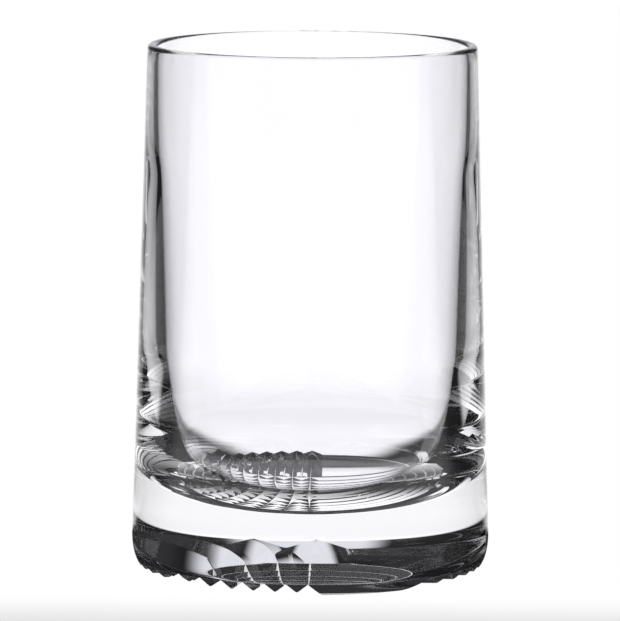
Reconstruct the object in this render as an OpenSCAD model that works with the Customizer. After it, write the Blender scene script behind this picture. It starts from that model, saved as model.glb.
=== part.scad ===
// Tumbler of clear crystal with a heavy base, cut underneath with two crossing sets of
// straight V grooves. The real glass is one piece. Each module here is one region of it,
// and neighbouring regions meet face to face on a level or upright plane.
// Origin: centre of the plane that the glass stands on. +Z up, -Y to the front.

/* [Body] */
// Height from the standing plane to the top of the lip
height = 117.2; // [108:0.1:128]
// Largest outside diameter, where the heel meets the straight side
body_d = 80; // [79:0.5:84]
// Outside diameter at the top of the straight side
rim_d = 73.4; // [72.6:0.2:76]
// Height at which the heel meets the straight side
heel_h = 7.3; // [5:0.1:9]
// How far the heel curves in from the largest radius to the flat foot
heel_in = 2.8; // [2:0.1:4]

/* [Bowl] */
// Height of the lowest point of the bowl's floor
floor_z = 14.1; // [12:0.1:18]
// Radius of the level middle of the bowl's floor
floor_r = 6; // [4:0.5:10]
// Inside radius at the waist, where the wall starts to curve in towards the floor
waist_r = 32.7; // [31.7:0.1:33.5]
// Height of the waist
waist_z = 48.8; // [45:0.1:54]
// Wall thickness at the lip
lip_t = 2.2; // [1.8:0.1:2.6]
// Height of the band of glass that counts as the rim
rim_band = 6; // [4:0.5:10]

/* [Cut base] */
// Spacing of the grooves
groove_pitch = 4.76; // [4.6:0.02:4.9]
// Depth of each groove from the standing plane
groove_depth = 2.55; // [2.3:0.05:2.7]
// Slope of the grooves' sides from the level, in degrees
groove_slope = 40; // [38:1:45]
// Grooves in each of the two crossing sets, the one through the centre among them
groove_count = 7; // [3:1:7]

/* [Hidden] */
crystal = [0.88, 0.91, 0.95, 0.45];
$fn = 128;

body_r = body_d / 2;
rim_r = rim_d / 2;
lip_r = lip_t / 2;
foot_r = body_r - heel_in;
// Height of the lip's centre of roundness, where the straight side ends
lip_z = height - lip_r;
// Planes on which the regions of the glass meet
cut_top = 3;
ring_top = floor_z + 6;
rim_z = height - rim_band;
// Room beyond the glass for the shapes that cut it
margin = 2;
// Points along each curve of the bowl's outline
curve_steps = 12;

// The bowl's outline from the lip to the floor: three cubic curves, end to end,
// each given by its start, its two handles and its end.
waist = [waist_r, waist_z];
shoulder = [waist_r - 2.9, floor_z + 12.4];
wall_curve = [
    [rim_r - lip_t, lip_z],
    [rim_r - lip_t, lip_z - 40],
    waist + [1.33, 57.7],
    waist
];
waist_curve = [
    waist,
    waist - [0.43, 7.2],
    shoulder + [1.45, 5],
    shoulder
];
floor_curve = [
    shoulder,
    shoulder - [3.2, 8.6],
    [floor_r + 16.3, floor_z],
    [floor_r, floor_z]
];

function bezier(p, t) =
    pow(1 - t, 3) * p[0] + 3 * pow(1 - t, 2) * t * p[1]
    + 3 * (1 - t) * t * t * p[2] + pow(t, 3) * p[3];

function curve(p) = [for (i = [0 : curve_steps - 1]) bezier(p, i / curve_steps)];

// Half section of the outside, filled to the axis, with a square heel
module outer_section() {
    polygon([[0, 0], [body_r, 0], [body_r, heel_h], [rim_r, lip_z], [0, lip_z]]);
}

// What the heel's curve, a quarter of an ellipse, takes off the square corner
module heel_waste() {
    difference() {
        translate([foot_r, -margin]) square([heel_in + margin, heel_h + margin]);
        translate([foot_r, heel_h]) scale([heel_in / heel_h, 1]) circle(heel_h);
    }
}

// Half section of the bowl
module bowl_section() {
    polygon(concat(
        [[0, lip_z]],
        curve(wall_curve), curve(waist_curve), curve(floor_curve),
        [floor_curve[3], [0, floor_z]]
    ));
}

// Half section of the glass before its base is cut
module glass_section() {
    difference() {
        outer_section();
        heel_waste();
        bowl_section();
    }
}

// The glass between two heights
module band(low, high) {
    rotate_extrude()
        intersection() {
            glass_section();
            translate([0, low]) square([body_r + margin, high - low]);
        }
}

// One set of V grooves along X, right across the base, from the centre to the front
module groove_set() {
    reach = body_r + margin;
    half_width = (groove_depth + margin) / tan(groove_slope);
    for (i = [0 : groove_count - 1])
        translate([-reach, -i * groove_pitch, 0])
            rotate([90, 0, 90])
                linear_extrude(2 * reach)
                    polygon([[-half_width, -margin], [half_width, -margin], [0, groove_depth]]);
}

// The quarter of the cut band that lies on the given sides of the X and Y axes.
// The second set of grooves is the first mirrored in the plane y = x.
module cut_quarter(side_x, side_y) {
    reach = body_r + margin;
    color(crystal)
        difference() {
            intersection() {
                band(0, cut_top);
                translate([min(side_x, 0) * reach, min(side_y, 0) * reach, 0])
                    cube([reach, reach, cut_top]);
            }
            groove_set();
            mirror([1, -1, 0]) groove_set();
        }
}

// Points where both sets of grooves cross
module ridges_front_left() { cut_quarter(-1, -1); }

// Ridges along X
module ridges_front_right() { cut_quarter(1, -1); }

// Ridges along Y
module ridges_back_left() { cut_quarter(-1, 1); }

// The plain quarter, with half a groove along each of its two straight edges
module foot_back_right() { cut_quarter(1, 1); }

// Solid block of glass between the cuts and the bowl's floor
module base() {
    color(crystal) band(cut_top, floor_z);
}

// Ring of glass that the edge of the bowl's floor curves up over
module floor_ring() {
    color(crystal) band(floor_z, ring_top);
}

// Thick foot of the wall, round the rounded bottom of the bowl
module lower_wall() {
    color(crystal) band(ring_top, waist_z);
}

// Tapered wall between the rim and the waist
module side_wall() {
    color(crystal) band(waist_z, rim_z);
}

// Top of the wall with its rounded lip
module rim() {
    color(crystal) {
        band(rim_z, lip_z);
        rotate_extrude()
            translate([rim_r - lip_r, lip_z])
                intersection() {
                    circle(lip_r);
                    translate([-lip_r, 0]) square([lip_t, lip_r]);
                }
    }
}

rim();
side_wall();
lower_wall();
floor_ring();
base();
ridges_front_left();
ridges_front_right();
ridges_back_left();
foot_back_right();
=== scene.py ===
"""A clear crystal whiskey tumbler with a cut base, on a pale studio floor.

The tumbler is one continuous mesh that stands for all the CAD regions of the glass. Its
outside, lip and bowl are turned about Z, and two crossing sets of grooves are cut out of
its underside. Numbers are in mm until the mesh is scaled to metres.
"""

import math

import bmesh
import bpy
import numpy as np
from mathutils import Matrix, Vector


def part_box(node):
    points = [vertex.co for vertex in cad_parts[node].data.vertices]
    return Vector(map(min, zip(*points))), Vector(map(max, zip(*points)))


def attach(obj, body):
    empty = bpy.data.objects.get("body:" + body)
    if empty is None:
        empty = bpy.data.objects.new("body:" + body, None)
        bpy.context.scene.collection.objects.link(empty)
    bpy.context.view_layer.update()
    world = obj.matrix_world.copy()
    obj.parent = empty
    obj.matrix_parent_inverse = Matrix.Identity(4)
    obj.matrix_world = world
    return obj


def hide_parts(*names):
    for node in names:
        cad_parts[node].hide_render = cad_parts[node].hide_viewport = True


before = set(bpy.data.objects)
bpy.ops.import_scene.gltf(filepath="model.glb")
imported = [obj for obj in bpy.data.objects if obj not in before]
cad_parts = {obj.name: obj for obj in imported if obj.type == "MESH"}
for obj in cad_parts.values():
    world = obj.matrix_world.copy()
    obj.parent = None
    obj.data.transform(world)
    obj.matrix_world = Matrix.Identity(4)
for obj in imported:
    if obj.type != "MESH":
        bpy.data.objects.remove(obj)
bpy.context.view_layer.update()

MM = 0.001

# ---------------------------------------------------------------- dimensions, in mm

# Read from the frame
BODY_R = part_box("base")[1].x / MM
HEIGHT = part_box("rim")[1].z / MM
RIM_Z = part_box("rim")[0].z / MM
RIM_BAND_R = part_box("rim")[1].x / MM
WAIST_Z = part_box("lower_wall")[1].z / MM
FLOOR_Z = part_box("base")[1].z / MM

# The finer shape, as the CAD has it
HEEL_H = 7.3
HEEL_IN = 2.8
LIP_T = 2.2
WAIST_R = 32.7
SHOULDER = (WAIST_R - 2.9, FLOOR_Z + 12.4)
FLOOR_REACH = 21.4
PITCH = 4.76
DEPTH = 2.55
SLOPE = math.tan(math.radians(40))
GROOVES = 7

# Camera
CAM_X = -0.30
CAM_D = 1150.0
CAM_H = 213.53
CAM_PITCH = 0.1349
CAM_ROLL = 0.005
CAM_LENS = 301.2
CAM_TURN = 0.0125

# Lighting: places in metres, strengths in the picture's own white
FLOOR_Z_OFFSET = -0.00002
FLOOR_SHADE = 0.78
# Field of light behind the glass, its middle and its edge
FIELD_POWER = 1.12
FIELD_EDGE = 0.25
# Half width between the flags at the glass, and how much it grows with each metre behind
FLAG_X = 0.08
FLAG_SPREAD = 0.5
# How much further back the field starts with each metre to the side
START_CURVE = 0.4
# What is left of the field just behind the glass
NEAR_DIM = 0.9
# Spot under the glass, floor in front and at the sides, window behind
SPOT_POWER = 1.1
SIDE_POWER = 0.9
WINDOW_POWER = 0.85
# The rest of the floor and room, and the ceiling
DIM = 0.012
CEILING = 0.035

# Relief of the glass's surface, in metres
WAVE_DEPTH = 0.00002
MARK_DEPTH = 0.0000004

# Softness of the edges that polishing leaves
VALLEY_SOFT = 0.08
CREST_SOFT = 0.3

FOOT_R = BODY_R - HEEL_IN
LIP_Z = HEIGHT - LIP_T / 2
TAPER = (BODY_R - RIM_BAND_R) / (RIM_Z - HEEL_H)
RIM_R = BODY_R - TAPER * (LIP_Z - HEEL_H)
SEGMENTS = 384


# ---------------------------------------------------------------- the glass

def groove_profile():
    """Section across one set of grooves, from the last one's far edge to the first one's near edge."""
    # Shares of the way from a groove's bottom to the crest beside it, closer together at both
    shares = np.array([0, 0.012, 0.03, 0.06, 0.15, 0.35, 0.55, 0.72, 0.82, 0.88, 0.92, 0.95, 0.975, 1])
    to_crest = shares * PITCH / 2
    edge = DEPTH / SLOPE
    to_edge = shares[:6] * edge
    last = -(GROOVES - 1) * PITCH
    places = [last - edge, *(last - to_edge[:0:-1])]
    for bottom in np.arange(GROOVES - 1, 0, -1) * -PITCH:
        places += [*(bottom + to_crest), *(bottom + PITCH - to_crest[-2:0:-1])]
    places += [*to_edge, edge]
    return np.array(places), groove_height(np.array(places))


def groove_height(place):
    """Height of the grooves' surface, with their bottoms and the crests between them softened."""
    offset = np.abs(place - np.clip(np.round(-place / PITCH), 0, GROOVES - 1) * -PITCH)
    height = DEPTH - SLOPE * (np.sqrt(offset**2 + VALLEY_SOFT**2) - VALLEY_SOFT)
    from_crest = PITCH / 2 - offset
    between = (place > -(GROOVES - 1) * PITCH) & (place < 0) & (from_crest < CREST_SOFT)
    rounding = SLOPE * (CREST_SOFT - from_crest)**2 / (2 * CREST_SOFT)
    return np.where(between, height + rounding, np.maximum(height, 0))


def groove_normal(place):
    step = 1e-4
    slope = (groove_height(place + step) - groove_height(place - step)) / (2 * step)
    return slope, -np.ones_like(slope)


def bezier(start, handle_a, handle_b, end, steps):
    """Points along a cubic curve, without its start."""
    p = [np.array(v, float) for v in (start, handle_a, handle_b, end)]
    t = (np.arange(1, steps + 1) / steps)[:, None]
    return (1 - t)**3 * p[0] + 3 * (1 - t)**2 * t * p[1] + 3 * (1 - t) * t**2 * p[2] + t**3 * p[3]


def arc(centre, radius, start, end, steps):
    angles = np.linspace(start, end, steps)
    return np.array(centre) + np.array(radius) * np.stack([np.cos(angles), np.sin(angles)], -1)


def line(start, end, steps):
    """Points along a line without its ends."""
    a, b = np.array(start, float), np.array(end, float)
    return a + (b - a) * (np.arange(1, steps) / steps)[:, None]


def profile():
    """Outline of the uncut glass in section, from the foot over the lip to the floor's centre."""
    lip_centre = (RIM_R - LIP_T / 2, LIP_Z)
    inner_top = np.array([RIM_R - LIP_T, LIP_Z])
    waist = np.array([WAIST_R, WAIST_Z])
    shoulder = np.array(SHOULDER)
    return np.concatenate([
        arc((FOOT_R, HEEL_H), (HEEL_IN, HEEL_H), -math.pi / 2, 0, 40),
        line((BODY_R, HEEL_H), (RIM_R, LIP_Z), 48),
        arc(lip_centre, LIP_T / 2, 0, math.pi, 25),
        bezier(inner_top, inner_top + (0, -40), waist + (1.33, 57.7), waist, 40),
        bezier(waist, waist - (0.43, 7.2), shoulder + (1.45, 5.0), shoulder, 20),
        bezier(shoulder, shoulder - (3.2, 8.6), (FLOOR_REACH, FLOOR_Z), (0, FLOOR_Z), 80)[:-1],
    ])


def mesh_object(name, points, faces):
    mesh = bpy.data.meshes.new(name)
    mesh.from_pydata([tuple(p) for p in points], [], faces)
    mesh.validate()
    work = bmesh.new()
    work.from_mesh(mesh)
    bmesh.ops.recalc_face_normals(work, faces=work.faces)
    work.to_mesh(mesh)
    work.free()
    piece = bpy.data.objects.new(name, mesh)
    bpy.context.scene.collection.objects.link(piece)
    return piece


def make_turned():
    """The uncut glass, turned about Z, in mm."""
    angles = np.linspace(0, 2 * math.pi, SEGMENTS, endpoint=False)
    rows = profile()
    points = np.concatenate([
        np.stack([r * np.cos(angles), r * np.sin(angles), np.full(SEGMENTS, z)], -1) for r, z in rows
    ] + [[(0, 0, FLOOR_Z)]])
    pole = len(points) - 1
    faces = [tuple(range(SEGMENTS))]
    for i in range(len(rows) - 1):
        for j in range(SEGMENTS):
            a, b = i * SEGMENTS + j, i * SEGMENTS + (j + 1) % SEGMENTS
            faces.append((a, b, b + SEGMENTS, a + SEGMENTS))
    last = (len(rows) - 1) * SEGMENTS
    faces += [(last + j, last + (j + 1) % SEGMENTS, pole) for j in range(SEGMENTS)]
    return mesh_object("tumbler", points, faces)


def make_cutter(name, along_x):
    """What one whole set of grooves takes off: a prism under the groove profile, in mm."""
    places, heights = groove_profile()
    places = np.concatenate([places, [places[-1], places[0]]])
    heights = np.concatenate([heights, [-2, -2]])
    reach = BODY_R + 2
    count = len(places)
    ends = []
    for end in (-reach, reach):
        run = np.full(count, end)
        ends.append(np.stack([run, places, heights] if along_x else [places, run, heights], -1))
    faces = [tuple(range(count)), tuple(range(count, 2 * count))]
    faces += [(i, (i + 1) % count, (i + 1) % count + count, i + count) for i in range(count)]
    return mesh_object(name, np.concatenate(ends), faces)


def cut(piece, cutter):
    step = piece.modifiers.new("cut", "BOOLEAN")
    step.operation = "DIFFERENCE"
    step.solver = "EXACT"
    step.object = cutter
    graph = bpy.context.evaluated_depsgraph_get()
    mesh = bpy.data.meshes.new_from_object(piece.evaluated_get(graph))
    piece.modifiers.clear()
    piece.data = mesh
    bpy.data.objects.remove(cutter)


def corner_normals(mesh):
    """For each face corner, the normal of whichever true surface its face lies on."""
    count = len(mesh.loops)
    corner_vert = np.zeros(count, int)
    mesh.loops.foreach_get("vertex_index", corner_vert)
    verts = np.zeros(len(mesh.vertices) * 3)
    mesh.vertices.foreach_get("co", verts)
    verts = verts.reshape(-1, 3)
    sizes = np.zeros(len(mesh.polygons), int)
    mesh.polygons.foreach_get("loop_total", sizes)
    flat = np.zeros(len(mesh.polygons) * 3)
    mesh.polygons.foreach_get("normal", flat)
    middle = np.zeros(len(mesh.polygons) * 3)
    mesh.polygons.foreach_get("center", middle)
    flat = np.repeat(flat.reshape(-1, 3), sizes, 0)
    middle = np.repeat(middle.reshape(-1, 3), sizes, 0)
    smooth = np.zeros(len(mesh.vertices) * 3)
    mesh.vertices.foreach_get("normal", smooth)
    p = verts[corner_vert]
    inward = p + np.clip(middle - p, -0.002, 0.002)
    zero = np.zeros(count)
    radius = np.maximum(np.hypot(p[:, 0], p[:, 1]), 1e-9)
    out = (radius - FOOT_R) / HEEL_IN**2
    slope_x, down = groove_normal(inward[:, 0])
    slope_y, _ = groove_normal(inward[:, 1])
    choices = np.stack([
        np.stack([zero, zero, down], -1),
        np.stack([p[:, 0] / radius * out, p[:, 1] / radius * out, (p[:, 2] - HEEL_H) / HEEL_H**2], -1),
        np.stack([slope_x, zero, down], -1),
        np.stack([zero, slope_y, down], -1),
    ])
    choices /= np.linalg.norm(choices, axis=-1, keepdims=True)
    best = np.argmax(np.sum(choices * flat, -1), 0)
    chosen = choices[best, np.arange(count)]
    turned = middle[:, 2] > HEEL_H
    chosen[turned] = smooth.reshape(-1, 3)[corner_vert][turned]
    return chosen


def make_glass():
    piece = make_turned()
    cut(piece, make_cutter("front_grooves", True))
    cut(piece, make_cutter("left_grooves", False))
    mesh = piece.data
    mesh.shade_smooth()
    mesh.normals_split_custom_set(corner_normals(mesh))
    mesh.transform(Matrix.Scale(MM, 4))
    return piece


# ---------------------------------------------------------------- node graphs

class Graph:
    """A node tree with short ways to add nodes to it."""

    def __init__(self, tree):
        self.nodes, self.links = tree.nodes, tree.links

    def put(self, socket, value):
        if isinstance(value, bpy.types.NodeSocket):
            self.links.new(value, socket)
        else:
            socket.default_value = value

    def math(self, operation, a, b=None):
        made = self.nodes.new("ShaderNodeMath")
        made.operation = operation
        self.put(made.inputs[0], a)
        if b is not None:
            self.put(made.inputs[1], b)
        return made.outputs[0]

    def fade(self, value, start, end, at_start=0.0, at_end=1.0):
        """Smooth change from one level to another while the value goes from start to end."""
        made = self.nodes.new("ShaderNodeMapRange")
        made.interpolation_type = "SMOOTHSTEP"
        levels = {"From Min": start, "From Max": end, "To Min": at_start, "To Max": at_end}
        for name, level in levels.items():
            made.inputs[name].default_value = level
        self.put(made.inputs["Value"], value)
        return made.outputs[0]

    def place(self, output):
        """The three coordinates that a Texture Coordinate output gives."""
        split = self.nodes.new("ShaderNodeSeparateXYZ")
        self.links.new(self.nodes.new("ShaderNodeTexCoord").outputs[output], split.inputs[0])
        return split.outputs

    def noise(self, place, stretch, scale, detail):
        mapping = self.nodes.new("ShaderNodeMapping")
        mapping.inputs["Scale"].default_value = stretch
        self.put(mapping.inputs["Vector"], place)
        made = self.nodes.new("ShaderNodeTexNoise")
        made.inputs["Scale"].default_value = scale
        made.inputs["Detail"].default_value = detail
        self.put(made.inputs["Vector"], mapping.outputs["Vector"])
        return made.outputs[0]


# ---------------------------------------------------------------- material

def glass_material():
    """Clear crystal, with the faint waves and turning marks that fire and polish leave."""
    material = bpy.data.materials.new("clear_crystal")
    material.use_nodes = True
    graph = Graph(material.node_tree)
    shader = graph.nodes["Principled BSDF"]
    shader.inputs["Base Color"].default_value = (0.975, 0.972, 1.0, 1.0)
    shader.inputs["IOR"].default_value = 1.52
    shader.inputs["Transmission Weight"].default_value = 1.0
    place = graph.nodes.new("ShaderNodeTexCoord").outputs["Object"]
    waves = graph.noise(place, (1, 1, 0.6), 38.0, 1.0)
    marks = graph.noise(place, (1, 1, 14), 60.0, 0.5)
    bump = graph.nodes.new("ShaderNodeBump")
    bump.inputs["Strength"].default_value = 1.0
    bump.inputs["Distance"].default_value = WAVE_DEPTH
    graph.put(bump.inputs["Height"], waves)
    fine = graph.nodes.new("ShaderNodeBump")
    fine.inputs["Strength"].default_value = 1.0
    fine.inputs["Distance"].default_value = MARK_DEPTH
    graph.put(fine.inputs["Height"], marks)
    graph.put(fine.inputs["Normal"], bump.outputs["Normal"])
    graph.put(shader.inputs["Normal"], fine.outputs["Normal"])
    graph.put(shader.inputs["Roughness"], graph.fade(marks, 0.5, 0.8, 0.0, 0.006))
    return material


# ---------------------------------------------------------------- studio

def lit_sheet(name, corners):
    """A glowing sheet, and the graph of its material with the socket for its strength."""
    mesh = bpy.data.meshes.new(name)
    mesh.from_pydata(corners, [], [(0, 1, 2, 3)])
    sheet = bpy.data.objects.new(name, mesh)
    bpy.context.scene.collection.objects.link(sheet)
    material = bpy.data.materials.new(name)
    material.use_nodes = True
    graph = Graph(material.node_tree)
    graph.nodes.clear()
    glow = graph.nodes.new("ShaderNodeEmission")
    out = graph.nodes.new("ShaderNodeOutputMaterial")
    graph.links.new(glow.outputs[0], out.inputs["Surface"])
    mesh.materials.append(material)
    sheet.visible_diffuse = False
    sheet.visible_shadow = False
    return sheet, graph, glow.inputs["Strength"]


def level_corners(half, z):
    return [(-half, -half, z), (half, -half, z), (half, half, z), (-half, half, z)]


def make_floor():
    """The pale floor as the camera sees it, with a soft shade in front of the glass."""
    floor, graph, strength = lit_sheet("floor", level_corners(6.0, FLOOR_Z_OFFSET))
    x, y, _ = graph.place("Object")
    strip = graph.math("MULTIPLY", graph.fade(y, -0.038, -0.075), graph.fade(y, -0.16, -0.1))
    strip = graph.math("MULTIPLY", strip, graph.fade(graph.math("ABSOLUTE", x), 0.2, 0.08))
    graph.put(strength, graph.math("SUBTRACT", 1.0, graph.math("MULTIPLY", strip, 1 - FLOOR_SHADE)))
    floor.visible_transmission = False
    floor.visible_glossy = False


def make_table_light():
    """The floor as the glass sees it, which the camera doesn't: a bright field between two dark
    flags behind the glass, a bright spot under it, and a lit floor in front and at the sides."""
    table, graph, strength = lit_sheet("table_light", level_corners(6.0, FLOOR_Z_OFFSET))
    x, y, _ = graph.place("Object")

    def times(a, b):
        return graph.math("MULTIPLY", a, b)

    def plus(a, b):
        return graph.math("ADD", a, b)

    across = graph.math("ABSOLUTE", x)
    radius = graph.math("SQRT", plus(times(x, x), times(y, y)))
    # Share of the way from the middle of the field to the flag
    flag = plus(times(graph.math("MAXIMUM", y, 0.001), FLAG_SPREAD), FLAG_X)
    share = graph.math("DIVIDE", across, flag)
    flagged = graph.fade(share, 0.97, 1.06, 1.0, 0.0)
    field = times(graph.fade(share, 0.35, 1.1, FIELD_POWER, FIELD_EDGE), flagged)
    start = graph.math("SUBTRACT", y, times(across, START_CURVE))
    field = times(field, graph.fade(start, 0.018, 0.032))
    # A little dimmer just behind the glass
    dimmed = times(graph.fade(y, 0.045, 0.085), graph.fade(y, 0.16, 0.09))
    field = times(field, graph.fade(times(dimmed, graph.fade(across, 0.1, 0.02)), 0.0, 1.0, 1.0, NEAR_DIM))
    spot = graph.fade(radius, 0.018, 0.037, SPOT_POWER, 0.0)
    around = times(graph.fade(radius, 0.08, 0.2), graph.fade(radius, 1.5, 2.5, 1.0, 0.0))
    sides = times(around, graph.fade(y, -0.02, 0.05, SIDE_POWER, 0.0))
    graph.put(strength, plus(plus(field, spot), plus(sides, DIM)))
    table.visible_camera = False


def make_world():
    """White to the camera. To the glass a dark room with a window behind and a dim ceiling."""
    world = bpy.data.worlds.new("studio")
    bpy.context.scene.world = world
    world.use_nodes = True
    graph = Graph(world.node_tree)
    graph.nodes.clear()
    out = graph.nodes.new("ShaderNodeOutputWorld")
    x, y, z = graph.place("Generated")
    room = graph.nodes.new("ShaderNodeBackground")
    room.inputs["Color"].default_value = (0.95, 0.95, 1.0, 1.0)
    side = graph.math("ABSOLUTE", graph.math("ARCTAN2", x, y))
    wide = graph.fade(side, 0.2, 0.35, 1.0, 0.0)
    tall = graph.fade(z, 0.3, 0.42, WINDOW_POWER, 0.0)
    window = graph.math("MULTIPLY", wide, tall)
    ceiling = graph.fade(z, 0.37, 0.57, DIM, CEILING)
    graph.put(room.inputs["Strength"], graph.math("ADD", window, ceiling))
    white = graph.nodes.new("ShaderNodeBackground")
    white.inputs["Color"].default_value = (1, 1, 1, 1)
    mix = graph.nodes.new("ShaderNodeMixShader")
    graph.put(mix.inputs["Fac"], graph.nodes.new("ShaderNodeLightPath").outputs["Is Camera Ray"])
    graph.links.new(room.outputs[0], mix.inputs[1])
    graph.links.new(white.outputs[0], mix.inputs[2])
    graph.links.new(mix.outputs[0], out.inputs["Surface"])


def make_camera():
    """Camera at the photograph's distance, height and angle."""
    data = bpy.data.cameras.new("camera")
    data.sensor_width = 36
    data.lens = CAM_LENS
    camera = bpy.data.objects.new("camera", data)
    bpy.context.scene.collection.objects.link(camera)
    turn = Matrix.Rotation(CAM_TURN, 4, "Z")
    place = Matrix.Translation((CAM_X * MM, -CAM_D * MM, CAM_H * MM))
    pitch = Matrix.Rotation(math.pi / 2 - CAM_PITCH, 4, "X")
    roll = Matrix.Rotation(CAM_ROLL, 4, "Z")
    camera.matrix_world = turn @ place @ pitch @ roll
    bpy.context.scene.camera = camera


make_camera()
make_world()
make_floor()
make_table_light()
glass = make_glass()
glass.data.materials.append(glass_material())
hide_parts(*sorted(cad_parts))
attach(glass, "root")

scene = bpy.context.scene
scene.view_settings.view_transform = "Standard"
scene.cycles.max_bounces = 32
scene.cycles.transmission_bounces = 32
scene.cycles.glossy_bounces = 32
